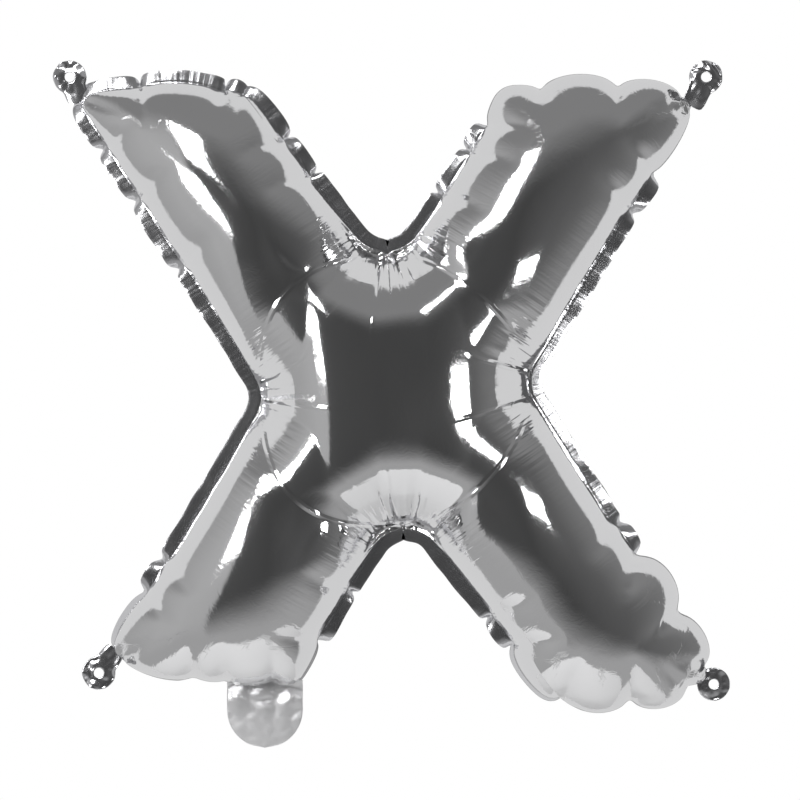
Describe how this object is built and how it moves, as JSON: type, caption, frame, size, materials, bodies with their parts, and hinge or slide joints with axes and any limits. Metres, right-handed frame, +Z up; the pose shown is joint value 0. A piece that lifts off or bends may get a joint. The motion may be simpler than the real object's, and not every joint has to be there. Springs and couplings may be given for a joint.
{
  "type": "letter foil balloon",
  "caption": "Air-filled foil balloon in the shape of a letter X, with a flat welded margin, holed hanging tabs at the arm tips and a flat filling tail.",
  "frame": {"origin": "halfway between the ribbon holes of the two upper hanging tabs, in the plane of the seam", "axes": "+X to the right seen from the front, +Y towards the back, +Z up; the front of the letter faces -Y"},
  "size_m": [0.3588, 0.0922, 0.3647],
  "materials": {
    "film": "mirror-bright metallised film",
    "weld": "crinkled heat-sealed metallised film",
    "tail": "soft satin metallised film",
    "valve": "milky film"
  },
  "bodies": {
    "root": {"front_film": "film", "back_film": "film", "seam_upper_left_outer": "weld", "seam_upper_left_inner": "weld", "seam_upper_left_end": "weld", "seam_upper_right_outer": "weld", "seam_upper_right_inner": "weld", "seam_upper_right_end": "weld", "seam_lower_right_outer": "weld", "seam_lower_right_inner": "weld", "seam_lower_right_end": "weld", "seam_lower_left_outer": "weld", "seam_lower_left_inner": "weld", "seam_lower_left_end": "weld", "hanging_tab_upper_left": "weld", "hanging_tab_upper_right": "weld", "hanging_tab_lower_right": "weld", "hanging_tab_lower_left": "weld", "neck_front": "tail", "neck_back": "tail", "valve_sleeve": "valve"}
  },
  "joints": []
}
